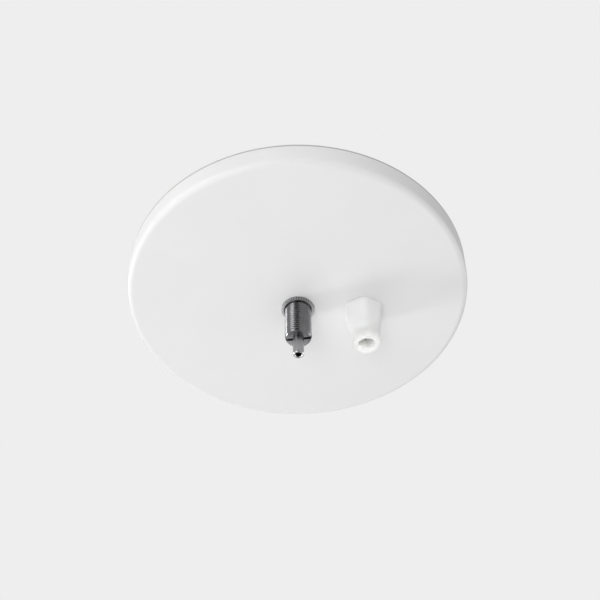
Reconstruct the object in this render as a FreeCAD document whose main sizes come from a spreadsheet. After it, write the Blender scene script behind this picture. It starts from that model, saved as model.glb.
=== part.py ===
# Ceiling rose for a pendant lamp: a shallow round canopy with a suspension-wire gripper at its centre and a
# cord grip beside it, and behind the canopy the ceiling bracket, its nut and a low terminal block.
# Millimetres, +Z up. The origin is on the ceiling plane, on the canopy's axis; everything hangs below it.
import FreeCAD, Part
import math
import os

import Sketcher

DIMENSIONS = [
    ("canopy_diameter", 130.0, "outside diameter at the rim"),
    ("canopy_height", 9.8, "rim to the outside of the face"),
    ("canopy_wall", 1.0, "steel sheet"),
    ("canopy_draft", 0.74, "how far the wall leans in over its height"),
    ("canopy_edge_radius", 2.25, "outside rounding between wall and face"),
    ("thread_diameter", 9.9, "outside of the fine M10 lamp thread"),
    ("thread_clearance", 0.05, "radial, between mating threads"),
    ("hole_clearance", 0.3, "radial, canopy holes around the threads"),
    ("ceiling_gap", 1.0, "free height left under the ceiling plane"),
    ("inner_clearance", 0.5, "free height left over the canopy's inside face"),
    ("ring_diameter", 12.7, "knurled ring nut"),
    ("ring_thickness", 1.1, ""),
    ("ring_edge", 0.2, "outside edge chamfer"),
    ("ring_countersink", 0.35, "chamfer at the threaded hole"),
    ("knurl_count", 40, "grooves around the ring"),
    ("knurl_depth", 0.36, ""),
    ("gripper_reach", 16.4, "housing below the canopy's face"),
    ("gripper_end_radius", 1.2, "rounding at the housing's lower end"),
    ("relief_height", 1.0, "thread relief at the ring nut, lower than the ring is thick"),
    ("relief_depth", 0.55, ""),
    ("relief_cover", 0.5, "how much of the relief the ring nut covers"),
    ("housing_turn", -9.7, "degrees that the housing is screwed round"),
    ("housing_cavity", 7.0, "diameter of the spring chamber"),
    ("end_wall", 2.0, "housing floor around the plunger"),
    ("seat_entry", 5.8, "narrow end of the clamping cone"),
    ("seat_length", 7.0, "height of the clamping cone"),
    ("driver_slot_width", 1.1, ""),
    ("driver_slot_depth", 1.2, ""),
    ("exit_diameter", 2.2, "side hole for the spare wire"),
    ("nozzle_diameter", 4.0, "part of the plunger that shows"),
    ("nozzle_reach", 8.1, "plunger below the housing"),
    ("nozzle_bore", 2.3, "wire guide"),
    ("nozzle_clearance", 0.08, "radial, plunger in the housing floor"),
    ("nozzle_edge", 0.3, "chamfers at the plunger's mouth"),
    ("guide_length", 9.0, "length of the wire guide bore"),
    ("cage_diameter", 5.0, "ball cage on the plunger"),
    ("cage_length", 5.5, ""),
    ("cage_bore", 2.7, "wire passage through the cage"),
    ("spigot_diameter", 3.6, "centres the spring on the cage"),
    ("spigot_length", 1.5, ""),
    ("ball_diameter", 2.0, ""),
    ("ball_height", 2.6, "ball centres above the housing floor"),
    ("ball_clearance", 0.05, "around each ball"),
    ("ball_count", 3, ""),
    ("spring_diameter", 5.6, "outside of the coil"),
    ("spring_wire", 0.5, ""),
    ("spring_turns", 5.5, ""),
    ("retainer_thickness", 1.5, "bush that holds the spring down"),
    ("retainer_gap", 0.15, "retainer below the side hole"),
    ("retainer_clearance", 0.02, "radial, retainer in the chamber"),
    ("cord_offset", 25.0, "cord grip from the canopy's axis"),
    ("cap_flats", 15.0, "hexagon at the cap's base, across flats"),
    ("cap_corner", 3.4, "rounding of the hexagon's corners"),
    ("cap_turn", -4.7, "degrees that the cap is screwed round"),
    ("cap_height", 18.7, ""),
    ("cap_tip_diameter", 10.7, ""),
    ("cap_tip_round", 1.3, "rounding at the cap's tip"),
    ("cap_thread_depth", 7.0, ""),
    ("cap_tip_wall", 2.6, "depth of the cord mouth"),
    ("cord_bore", 6.4, "cord mouth"),
    ("jaw_seat_top", 9.2, "wide end of the tapered seat"),
    ("jaw_seat_tip", 8.0, "narrow end of the tapered seat"),
    ("jaw_clearance", 0.1, "around the jaws"),
    ("jaw_bore", 6.0, "cord passage between the jaws"),
    ("jaw_turn", 8.0, "degrees that the jaws are turned round"),
    ("jaw_slit", 1.2, "gap between the fingers"),
    ("jaw_ring", 2.0, "uncut ring that joins the fingers"),
    ("nipple_bore", 7.0, ""),
    ("nipple_reach", 6.0, "nipple below the canopy's face"),
    ("nipple_proud", 0.5, "nipple above its nut"),
    ("nipple_edge", 0.5, "chamfer at the nipple's ends"),
    ("nut_flats", 14.0, "both hexagon nuts, across flats"),
    ("nut_edge", 0.6, "height of the chamfer on a nut"),
    ("nipple_nut_thickness", 2.8, ""),
    ("nipple_washer_diameter", 16.0, ""),
    ("nipple_washer_thickness", 0.8, ""),
    ("bracket_length", 100.0, ""),
    ("bracket_width", 20.0, ""),
    ("bracket_thickness", 1.5, ""),
    ("bridge_length", 40.0, "lowered middle of the bracket"),
    ("bend_radius", 0.8, "inside of the bends"),
    ("slot_spacing", 80.0, "ceiling screw slots, centre to centre"),
    ("slot_length", 12.0, "end to end"),
    ("slot_width", 4.5, ""),
    ("earth_offset", 14.0, "earth screw from the centre"),
    ("earth_shank", 3.9, ""),
    ("earth_head", 7.4, ""),
    ("earth_head_height", 2.0, ""),
    ("earth_washer_diameter", 9.4, ""),
    ("earth_washer_thickness", 0.8, ""),
    ("block_x", -24.0, "middle of the terminal block"),
    ("block_y", 35.0, "middle of the terminal block"),
    ("block_width", 15.0, "along the wires"),
    ("block_edge", 0.8, "rounding of the block's corners"),
    ("pole_pitch", 9.0, ""),
    ("wing_width", 18.0, "bracket lug over the block"),
    ("insert_diameter", 4.6, "brass tube in each pole"),
    ("insert_bore", 3.0, "wire hole"),
    ("insert_length", 13.0, ""),
    ("insert_clearance", 0.1, "radial, tube in the block"),
    ("clamp_offset", 3.4, "clamp screws from the middle of the tube"),
    ("small_shank", 2.4, "clamp and fixing screws"),
    ("clamp_head", 3.4, ""),
    ("clamp_head_height", 0.8, ""),
    ("clamp_lift", 0.1, "clamp head clear of the tube"),
    ("fixing_head", 4.4, ""),
    ("fixing_head_height", 1.4, ""),
    ("head_clearance", 0.2, "around the screw heads in the block"),
    ("head_sink", 0.2, "fixing heads below the block's face"),
    ("shank_clearance", 0.05, "radial, small screws in tapped holes"),
    ("screw_slot_share", 0.5, "slot depth as a share of the head's height"),
    ("screw_slot_width", 0.7, ""),
    ("screw_edge", 0.25, "chamfer on the heads"),
]

JAW_SLITS = 3
POLES = (-1, 0, 1)
SIDES = (-1, 1)

doc = FreeCAD.newDocument("ceiling_rose")
sheet = doc.addObject("Spreadsheet::Sheet", "dims")
sub_parts = []


class Size:
    """A length that knows its number and the sheet expression that gives it."""

    def __init__(self, text, value):
        self.text = text
        self.value = value

    def __add__(self, other):
        other = as_size(other)
        return Size(f"({self.text} + {other.text})", self.value + other.value)

    def __sub__(self, other):
        other = as_size(other)
        return Size(f"({self.text} - {other.text})", self.value - other.value)

    def __mul__(self, other):
        other = as_size(other)
        return Size(f"({self.text} * {other.text})", self.value * other.value)

    def __truediv__(self, other):
        other = as_size(other)
        return Size(f"({self.text} / {other.text})", self.value / other.value)

    def __neg__(self):
        return Size(f"(0 - {self.text})", -self.value)


def as_size(number):
    """A plain number as a Size; a Size stays as it is."""
    return number if isinstance(number, Size) else Size(f"({number:.9f})", float(number))


def fill_sheet():
    """One row for each driving dimension: its name, its value under that alias, and what it is."""
    for row, (name, value, note) in enumerate(DIMENSIONS, start=1):
        sheet.set(f"A{row}", name)
        sheet.set(f"B{row}", str(value))
        sheet.setAlias(f"B{row}", name)
        sheet.set(f"C{row}", note)
    doc.recompute()
    return {name: Size(f"dims.{name}", value) for name, value, note in DIMENSIONS}


dim = fill_sheet()
ZERO = as_size(0)
PAST = as_size(1)

# Levels, from the ceiling down
face = -dim["canopy_height"]
inner_face = face + dim["canopy_wall"]
bridge_bottom = (
    inner_face + dim["inner_clearance"] + dim["earth_head_height"] + dim["earth_washer_thickness"]
)
bridge_top = bridge_bottom + dim["bracket_thickness"]
nut_top = -dim["ceiling_gap"]
housing_end = face - dim["gripper_reach"]
housing_floor = housing_end + dim["end_wall"]
cage_top = housing_floor + dim["cage_length"]
nozzle_tip = housing_end - dim["nozzle_reach"]
exit_level = (inner_face + bridge_bottom) / 2
retainer_top = exit_level - dim["exit_diameter"] / 2 - dim["retainer_gap"]
retainer_bottom = retainer_top - dim["retainer_thickness"]
cap_tip = face - dim["cap_height"]
cap_thread_end = face - dim["cap_thread_depth"]
jaw_seat_end = cap_tip + dim["cap_tip_wall"]
washer_top = inner_face + dim["nipple_washer_thickness"]
nipple_nut_top = washer_top + dim["nipple_nut_thickness"]
block_top = -dim["bracket_thickness"]
block_bottom = inner_face + dim["inner_clearance"]
pole_level = (block_top + block_bottom) / 2

# Radii that mating pieces share
thread_radius = dim["thread_diameter"] / 2
tapped_radius = thread_radius + dim["thread_clearance"]
canopy_hole_radius = thread_radius + dim["hole_clearance"]


def new_body(label, x=None, y=None, turn=None):
    """An empty body, set at x and y and turned about its own upright axis."""
    body = doc.addObject("PartDesign::Body", label)
    body.Label = label
    for path, size in (("Base.x", x), ("Base.y", y), ("Rotation.Angle", turn)):
        if size is not None:
            body.setExpression(f"Placement.{path}", size.text)
    return body


def keep(sub_part):
    """Marks an object as a finished sub-part of the rose."""
    sub_parts.append(sub_part)
    return sub_part


def new_sketch(body, role, level=None):
    """A sketch on one of the body's origin planes, raised to a level along the plane's normal."""
    sketch = body.newObject("Sketcher::SketchObject", f"{body.Name}_sketch")
    plane = next(item for item in body.Origin.OriginFeatures if item.Role == role)
    sketch.AttachmentSupport = [(plane, "")]
    sketch.MapMode = "FlatFace"
    if level is not None:
        sketch.setExpression("AttachmentOffset.Base.z", level.text)
    return sketch


def pin_point(sketch, geometry, vertex, point):
    """Fixes one point of a sketch at a pair of sizes measured from the sketch's origin."""
    for kind, size, axis in (("DistanceX", point[0], -2), ("DistanceY", point[1], -1)):
        if size is ZERO:
            sketch.addConstraint(Sketcher.Constraint("PointOnObject", geometry, vertex, axis))
            continue
        index = sketch.addConstraint(Sketcher.Constraint(kind, -1, 1, geometry, vertex, size.value))
        sketch.setExpression(f"Constraints[{index}]", size.text)


def at(point):
    """The sketch vector of a pair of sizes."""
    return FreeCAD.Vector(point[0].value, point[1].value, 0)


def draw_outline(sketch, points):
    """A closed outline of straight lines through the points."""
    first = sketch.GeometryCount
    count = len(points)
    for index in range(count):
        line = Part.LineSegment(at(points[index]), at(points[(index + 1) % count]))
        sketch.addGeometry(line)
    for index in range(count):
        following = first + (index + 1) % count
        sketch.addConstraint(Sketcher.Constraint("Coincident", first + index, 2, following, 1))
    for index, point in enumerate(points):
        pin_point(sketch, first + index, 1, point)


def draw_rectangle(sketch, centre, width, height):
    """A rectangle about a centre."""
    half_width = width / 2
    half_height = height / 2
    corners = ((-1, -1), (1, -1), (1, 1), (-1, 1))
    draw_outline(
        sketch,
        [(centre[0] + half_width * x, centre[1] + half_height * y) for x, y in corners],
    )


def draw_rounded(sketch, sides):
    """A closed outline of straight sides, each a pair of points, joined by tangent arcs."""
    first = sketch.GeometryCount
    count = len(sides)
    for start, end in sides:
        sketch.addGeometry(Part.LineSegment(at(start), at(end)))
    for index, (start, end) in enumerate(sides):
        pin_point(sketch, first + index, 1, start)
        pin_point(sketch, first + index, 2, end)
    for index in range(count):
        following = (index + 1) % count
        corner = corner_arc(sides[index], sides[following])
        arc = sketch.addGeometry(corner)
        sketch.addConstraint(Sketcher.Constraint("Tangent", first + index, 2, arc, 1))
        sketch.addConstraint(Sketcher.Constraint("Coincident", arc, 2, first + following, 1))


def corner_arc(side, following):
    """The arc that leaves the end of one side along that side and meets the start of the next."""
    start = at(side[1])
    end = at(following[0])
    along = (start - at(side[0])).normalize()
    chord = end - start
    inward = FreeCAD.Vector(-along.y, along.x, 0)
    radius = chord.Length**2 / (2 * chord.dot(inward))
    centre = start + inward * radius
    angles = [math.atan2(point.y - centre.y, point.x - centre.x) for point in (start, end)]
    return Part.ArcOfCircle(Part.Circle(centre, FreeCAD.Vector(0, 0, 1), radius), angles[0], angles[1])


def draw_circle(sketch, centre, diameter):
    """A circle of a given diameter."""
    circle = Part.Circle(at(centre), FreeCAD.Vector(0, 0, 1), diameter.value / 2)
    index = sketch.addGeometry(circle)
    pin_point(sketch, index, 3, centre)
    width = sketch.addConstraint(Sketcher.Constraint("Diameter", index, diameter.value))
    sketch.setExpression(f"Constraints[{width}]", diameter.text)


def draw_slot(sketch, centre, length, width):
    """A slot with round ends that runs along the sketch's upright axis."""
    half_width = width / 2
    half_run = (length - width) / 2
    right, left = centre[0] + half_width, centre[0] - half_width
    low, high = centre[1] - half_run, centre[1] + half_run
    draw_rounded(sketch, [((right, low), (right, high)), ((left, high), (left, low))])


def turned(body, points, kind="PartDesign::Revolution"):
    """Revolves an outline of radius and level pairs about the body's upright axis; a Groove cuts it."""
    sketch = new_sketch(body, "XZ_Plane")
    draw_outline(sketch, points)
    feature = body.newObject(kind, f"{body.Name}_turned")
    feature.Profile = sketch
    feature.ReferenceAxis = (sketch, ["V_Axis"])
    feature.Angle = 360
    doc.recompute()
    return feature


def padded(body, sketch, thickness, symmetric=False, downward=False):
    """Extrudes a sketch to a thickness."""
    pad = body.newObject("PartDesign::Pad", f"{body.Name}_pad")
    pad.Profile = sketch
    pad.SideType = "Symmetric" if symmetric else "One side"
    pad.Reversed = downward
    pad.setExpression("Length", thickness.text)
    doc.recompute()
    return pad


def cut(body, sketch, depth=None, against_normal=True, both_ways=False):
    """Cuts a sketch into the body: to a depth, or right through where none is given."""
    before = body.Shape.Volume
    pocket = body.newObject("PartDesign::Pocket", f"{body.Name}_cut")
    pocket.Profile = sketch
    pocket.SideType = "Symmetric" if both_ways else "One side"
    pocket.Reversed = not against_normal
    if depth is None:
        pocket.Type = "ThroughAll"
    else:
        pocket.Type = "Length"
        pocket.setExpression("Length", depth.text)
    doc.recompute()
    if body.Shape.Volume >= before:
        raise RuntimeError(f"{pocket.Name} cuts nothing")
    return pocket


def repeated(body, feature, count, angle=360):
    """Repeats a feature around the body's upright axis."""
    pattern = body.newObject("PartDesign::PolarPattern", f"{body.Name}_pattern")
    pattern.Originals = [feature]
    axis = next(item for item in body.Origin.OriginFeatures if item.Role == "Z_Axis")
    pattern.Axis = (axis, [""])
    pattern.Angle = angle
    if isinstance(count, Size):
        pattern.setExpression("Occurrences", count.text)
    else:
        pattern.Occurrences = count
    body.Tip = pattern
    doc.recompute()
    return pattern


def rounded(body, feature, radius, wanted):
    """Rounds every edge of a feature that the test picks."""
    names = [f"Edge{index}" for index, edge in enumerate(feature.Shape.Edges, start=1) if wanted(edge)]
    if not names:
        raise RuntimeError(f"{body.Name} has no edge to round")
    fillet = body.newObject("PartDesign::Fillet", f"{body.Name}_fillet")
    fillet.Base = (feature, names)
    fillet.setExpression("Radius", radius.text)
    doc.recompute()
    return fillet


def is_ring(edge, radius, level):
    """Whether an edge is a circle of this radius at this level."""
    curve = edge.Curve
    return (
        isinstance(curve, Part.Circle)
        and math.isclose(curve.Radius, radius.value, abs_tol=1e-4)
        and math.isclose(curve.Center.z, level.value, abs_tol=1e-4)
    )


def group(label, members):
    """Several like solids as one sub-part."""
    compound = doc.addObject("Part::Compound", label)
    compound.Label = label
    compound.Links = members
    return keep(compound)


def tube(label, outer_radius, inner_radius, bottom, top, **place):
    """A plain turned ring or tube."""
    body = new_body(label, **place)
    turned(
        body,
        [(inner_radius, bottom), (outer_radius, bottom), (outer_radius, top), (inner_radius, top)],
    )
    return keep(body)


def hexagon_corners(flats):
    """Corners of a hexagon with two of them on the sketch's upright axis."""
    radius = flats / math.sqrt(3)
    angles = [math.radians(30 + 60 * index) for index in range(6)]
    return [(radius * math.cos(angle), radius * math.sin(angle)) for angle in angles]


def canopy():
    """The pressed steel canopy: a shallow pan with a hole for the gripper and one for the cord grip."""
    body = new_body("canopy")
    rim = dim["canopy_diameter"] / 2
    foot = rim - dim["canopy_draft"]
    inner_rim = rim - dim["canopy_wall"]
    inner_foot = foot - dim["canopy_wall"]
    pan = turned(
        body,
        [
            (canopy_hole_radius, face),
            (foot, face),
            (rim, ZERO),
            (inner_rim, ZERO),
            (inner_foot, inner_face),
            (canopy_hole_radius, inner_face),
        ],
    )
    outer = rounded(body, pan, dim["canopy_edge_radius"], lambda edge: is_ring(edge, foot, face))
    inner_radius = dim["canopy_edge_radius"] - dim["canopy_wall"]
    rounded(body, outer, inner_radius, lambda edge: is_ring(edge, inner_foot, inner_face))
    hole = new_sketch(body, "XY_Plane")
    draw_circle(hole, (dim["cord_offset"], ZERO), canopy_hole_radius * 2)
    cut(body, hole)
    return keep(body)


def ring_nut():
    """The knurled ring nut that holds the canopy up."""
    body = new_body("ring_nut")
    bottom = face - dim["ring_thickness"]
    radius = dim["ring_diameter"] / 2
    edge = dim["ring_edge"]
    sink = dim["ring_countersink"]
    turned(
        body,
        [
            (tapped_radius + sink, bottom),
            (radius - edge, bottom),
            (radius, bottom + edge),
            (radius, face - edge),
            (radius - edge, face),
            (tapped_radius, face),
            (tapped_radius, bottom + sink),
        ],
    )
    groove = new_sketch(body, "XY_Plane")
    floor = radius - dim["knurl_depth"]
    mouth = radius + dim["knurl_depth"]
    draw_outline(groove, [(floor, ZERO), (mouth, -dim["knurl_depth"] * 2), (mouth, dim["knurl_depth"] * 2)])
    knurl = cut(body, groove)
    repeated(body, knurl, dim["knurl_count"])
    return keep(body)


def gripper_housing():
    """The threaded housing: thread relief, clamping cone, spring chamber, driver slot and side hole."""
    body = new_body("gripper_housing", turn=dim["housing_turn"])
    hole = dim["nozzle_diameter"] / 2 + dim["nozzle_clearance"]
    chamber = dim["housing_cavity"] / 2
    neck = thread_radius - dim["relief_depth"]
    relief_top = face - dim["ring_thickness"] + dim["relief_cover"]
    relief_bottom = relief_top - dim["relief_height"]
    shell = turned(
        body,
        [
            (hole, housing_end),
            (thread_radius, housing_end),
            (thread_radius, relief_bottom),
            (neck, relief_bottom),
            (neck, relief_top),
            (thread_radius, relief_top),
            (thread_radius, nut_top),
            (chamber, nut_top),
            (chamber, housing_floor + dim["seat_length"]),
            (dim["seat_entry"] / 2, housing_floor),
            (hole, housing_floor),
        ],
    )
    rounded(
        body, shell, dim["gripper_end_radius"], lambda edge: is_ring(edge, thread_radius, housing_end)
    )
    slot = new_sketch(body, "XY_Plane", housing_end)
    draw_rectangle(slot, (ZERO, ZERO), dim["thread_diameter"] + PAST, dim["driver_slot_width"])
    cut(body, slot, depth=dim["driver_slot_depth"], against_normal=False)
    side_hole = new_sketch(body, "YZ_Plane")
    draw_circle(side_hole, (ZERO, exit_level), dim["exit_diameter"])
    cut(body, side_hole)
    return keep(body)


def seat_radius(level):
    """Radius of the housing's clamping cone at a level."""
    narrow = dim["seat_entry"] / 2
    wide = dim["housing_cavity"] / 2
    return narrow + (wide - narrow) * (level - housing_floor) / dim["seat_length"]


def gripper_plunger():
    """The plunger: the nozzle that shows, with the ball cage and the spring spigot above it."""
    body = new_body("gripper_plunger")
    outer = dim["nozzle_diameter"] / 2
    guide = dim["nozzle_bore"] / 2
    passage = dim["cage_bore"] / 2
    edge = dim["nozzle_edge"]
    guide_end = nozzle_tip + dim["guide_length"]
    spigot_top = cage_top + dim["spigot_length"]
    turned(
        body,
        [
            (guide + edge, nozzle_tip),
            (outer - edge, nozzle_tip),
            (outer, nozzle_tip + edge),
            (outer, housing_floor),
            (dim["cage_diameter"] / 2, housing_floor),
            (dim["cage_diameter"] / 2, cage_top),
            (dim["spigot_diameter"] / 2, cage_top),
            (dim["spigot_diameter"] / 2, spigot_top),
            (passage, spigot_top),
            (passage, guide_end),
            (guide, guide_end),
            (guide, nozzle_tip + edge),
        ],
    )
    window = new_sketch(body, "YZ_Plane")
    ball_room = dim["ball_diameter"] + dim["ball_clearance"] * 2
    draw_circle(window, (ZERO, housing_floor + dim["ball_height"]), ball_room)
    opening = cut(body, window, against_normal=False)
    repeated(body, opening, dim["ball_count"])
    return keep(body)


def clamping_balls():
    """The balls that wedge between the wire and the housing's cone."""
    level = housing_floor + dim["ball_height"]
    ring = seat_radius(level) - dim["ball_diameter"] / 2 - dim["ball_clearance"]
    balls = []
    for index in range(int(dim["ball_count"].value)):
        angle = 2 * math.pi * index / dim["ball_count"].value
        ball = doc.addObject("Part::Sphere", f"ball_{index + 1}")
        ball.setExpression("Radius", (dim["ball_diameter"] / 2).text)
        ball.setExpression("Placement.Base.x", (ring * math.cos(angle)).text)
        ball.setExpression("Placement.Base.y", (ring * math.sin(angle)).text)
        ball.setExpression("Placement.Base.z", level.text)
        balls.append(ball)
    return group("clamping_balls", balls)


def gripper_spring():
    """The coil spring that drives the plunger down into the cone."""
    body = new_body("gripper_spring")
    wire = dim["spring_wire"]
    section = new_sketch(body, "XZ_Plane")
    draw_circle(section, ((dim["spring_diameter"] - wire) / 2, cage_top + wire / 2), wire)
    coil = body.newObject("PartDesign::AdditiveHelix", "gripper_spring_coil")
    coil.Profile = section
    coil.ReferenceAxis = (section, ["V_Axis"])
    coil.Mode = "height-turns-angle"
    coil.setExpression("Height", (retainer_bottom - cage_top - wire).text)
    coil.setExpression("Turns", dim["spring_turns"].text)
    doc.recompute()
    return keep(body)


def spring_retainer():
    """The bush pressed into the housing above the spring."""
    radius = dim["housing_cavity"] / 2 - dim["retainer_clearance"]
    return tube("spring_retainer", radius, dim["cage_bore"] / 2, retainer_bottom, retainer_top)


def cord_cap():
    """The cord grip's cap: a hexagon that runs out into a round tip, threaded and tapered inside."""
    body = new_body("cord_cap", x=dim["cord_offset"], turn=dim["cap_turn"])
    base = new_sketch(body, "XY_Plane", face)
    corners = hexagon_corners(dim["cap_flats"])
    trim = dim["cap_corner"] * math.tan(math.radians(30)) / (dim["cap_flats"] / math.sqrt(3))
    sides = []
    for index, start in enumerate(corners):
        end = corners[(index + 1) % len(corners)]
        run = [end[axis] - start[axis] for axis in (0, 1)]
        near = tuple(start[axis] + run[axis] * trim for axis in (0, 1))
        far = tuple(end[axis] - run[axis] * trim for axis in (0, 1))
        sides.append((near, far))
    draw_rounded(base, sides)
    tip = new_sketch(body, "XY_Plane", cap_tip)
    draw_circle(tip, (ZERO, ZERO), dim["cap_tip_diameter"])
    loft = body.newObject("PartDesign::AdditiveLoft", "cord_cap_loft")
    loft.Profile = base
    loft.Sections = [tip]
    loft.Ruled = True
    doc.recompute()
    outside = rounded(
        body,
        loft,
        dim["cap_tip_round"],
        lambda edge: all(
            math.isclose(vertex.Point.z, cap_tip.value, abs_tol=1e-4) for vertex in edge.Vertexes
        ),
    )
    body.Tip = outside
    mouth = dim["cord_bore"] / 2
    turned(
        body,
        [
            (ZERO, face + PAST),
            (tapped_radius, face + PAST),
            (tapped_radius, cap_thread_end),
            (dim["jaw_seat_top"] / 2, cap_thread_end),
            (dim["jaw_seat_tip"] / 2, jaw_seat_end),
            (mouth, jaw_seat_end),
            (mouth, cap_tip - PAST),
            (ZERO, cap_tip - PAST),
        ],
        kind="PartDesign::Groove",
    )
    return keep(body)


def cord_jaws():
    """The split jaws that rest in the cap's taper and close on the cord."""
    body = new_body("cord_jaws", x=dim["cord_offset"], turn=dim["jaw_turn"])
    gap = dim["jaw_clearance"]
    top = cap_thread_end - gap
    bottom = jaw_seat_end + gap
    bore = dim["jaw_bore"] / 2
    turned(
        body,
        [
            (bore, bottom),
            (dim["jaw_seat_tip"] / 2 - gap, bottom),
            (dim["jaw_seat_top"] / 2 - gap, top),
            (bore, top),
        ],
    )
    slit = new_sketch(body, "XY_Plane", bottom)
    draw_rectangle(slit, (ZERO, ZERO), dim["jaw_seat_top"] + PAST, dim["jaw_slit"])
    gash = cut(body, slit, depth=top - bottom - dim["jaw_ring"], against_normal=False)
    repeated(body, gash, JAW_SLITS, angle=180 - 180 / JAW_SLITS)
    return keep(body)


def cord_nipple():
    """The threaded tube through the canopy that the cap and its nut are screwed on."""
    body = new_body("cord_nipple", x=dim["cord_offset"])
    bottom = face - dim["nipple_reach"]
    top = nipple_nut_top + dim["nipple_proud"]
    bore = dim["nipple_bore"] / 2
    edge = dim["nipple_edge"]
    turned(
        body,
        [
            (bore, bottom),
            (thread_radius - edge, bottom),
            (thread_radius, bottom + edge),
            (thread_radius, top - edge),
            (thread_radius - edge, top),
            (bore, top),
        ],
    )
    return keep(body)


def hexagon_nut(label, bottom, top, **place):
    """A hexagon nut for the lamp thread, with its upper corners turned off."""
    body = new_body(label, **place)
    outline = new_sketch(body, "XY_Plane", bottom)
    draw_outline(outline, hexagon_corners(dim["nut_flats"]))
    padded(body, outline, top - bottom)
    hole = new_sketch(body, "XY_Plane", top)
    draw_circle(hole, (ZERO, ZERO), tapped_radius * 2)
    cut(body, hole)
    half_flats = dim["nut_flats"] / 2
    beyond = dim["nut_flats"] / math.sqrt(3) + PAST
    slope = dim["nut_edge"] * (beyond - half_flats) / (dim["nut_flats"] / math.sqrt(3) - half_flats)
    turned(
        body,
        [(half_flats, top), (beyond, top - slope), (beyond, top + PAST), (half_flats, top + PAST)],
        kind="PartDesign::Groove",
    )
    return keep(body)


def mounting_bracket():
    """The ceiling bracket: a joggled steel strip with screw slots, and a lug that carries the terminal block."""
    body = new_body("mounting_bracket")
    thick = dim["bracket_thickness"]
    end = dim["bracket_length"] / 2
    low = dim["bridge_length"] / 2
    high = low - bridge_top
    bend = thick * math.tan(math.radians(22.5))
    upper = [(-end, ZERO), (-high, ZERO), (-low, bridge_top), (low, bridge_top), (high, ZERO), (end, ZERO)]
    lower = [
        (end, -thick),
        (high + bend, -thick),
        (low + bend, bridge_bottom),
        (-low - bend, bridge_bottom),
        (-high - bend, -thick),
        (-end, -thick),
    ]
    profile = new_sketch(body, "YZ_Plane")
    draw_outline(profile, upper + lower)
    strip = padded(body, profile, dim["bracket_width"], symmetric=True)

    def is_bend(edge, points):
        """Whether an edge runs across the strip at one of the points, on either half."""
        first, second = (vertex.Point for vertex in edge.Vertexes)
        if not math.isclose(abs(first.x - second.x), dim["bracket_width"].value, abs_tol=1e-4):
            return False
        return any(
            math.isclose(abs(first.y), y.value, abs_tol=1e-4)
            and math.isclose(first.z, z.value, abs_tol=1e-4)
            for y, z in points
        )

    inside = [(high + bend, -thick), (low, bridge_top)]
    outside = [(high, ZERO), (low + bend, bridge_bottom)]
    bent = rounded(body, strip, dim["bend_radius"], lambda edge: is_bend(edge, inside))
    rounded(body, bent, dim["bend_radius"] + thick, lambda edge: is_bend(edge, outside))
    lug = new_sketch(body, "XY_Plane")
    lug_end = dim["block_x"] - dim["block_width"] / 2
    draw_rectangle(lug, (lug_end / 2, dim["block_y"]), -lug_end, dim["wing_width"])
    padded(body, lug, thick, downward=True)
    holes = new_sketch(body, "XY_Plane")
    draw_circle(holes, (ZERO, ZERO), tapped_radius * 2)
    draw_circle(holes, (ZERO, -dim["earth_offset"]), dim["earth_shank"] + dim["shank_clearance"] * 2)
    for side in SIDES:
        draw_slot(holes, (ZERO, dim["slot_spacing"] / 2 * side), dim["slot_length"], dim["slot_width"])
        fixing = (dim["block_x"], dim["block_y"] + dim["pole_pitch"] / 2 * side)
        draw_circle(holes, fixing, dim["small_shank"] + dim["shank_clearance"] * 2)
    cut(body, holes)
    return keep(body)


def slotted_screw(label, head, head_height, shank, head_bottom, tip, x=None, y=None):
    """A screw that points up, with a chamfered head and a driver slot in its underside."""
    body = new_body(label, x=x, y=y)
    radius = head / 2
    edge = dim["screw_edge"]
    head_top = head_bottom + head_height
    turned(
        body,
        [
            (ZERO, head_bottom),
            (radius - edge, head_bottom),
            (radius, head_bottom + edge),
            (radius, head_top),
            (shank / 2, head_top),
            (shank / 2, tip),
            (ZERO, tip),
        ],
    )
    slot = new_sketch(body, "XY_Plane", head_bottom)
    draw_rectangle(slot, (ZERO, ZERO), head + PAST, dim["screw_slot_width"])
    cut(body, slot, depth=head_height * dim["screw_slot_share"], against_normal=False)
    return body


def earth_terminal():
    """The earth screw and its washer, under the bracket's bridge."""
    below_washer = bridge_bottom - dim["earth_washer_thickness"]
    place = -dim["earth_offset"]
    screw = slotted_screw(
        "earth_screw",
        dim["earth_head"],
        dim["earth_head_height"],
        dim["earth_shank"],
        below_washer - dim["earth_head_height"],
        nut_top,
        y=place,
    )
    keep(screw)
    hole = dim["earth_shank"] / 2 + dim["hole_clearance"]
    tube("earth_washer", dim["earth_washer_diameter"] / 2, hole, below_washer, bridge_bottom, y=place)


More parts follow.
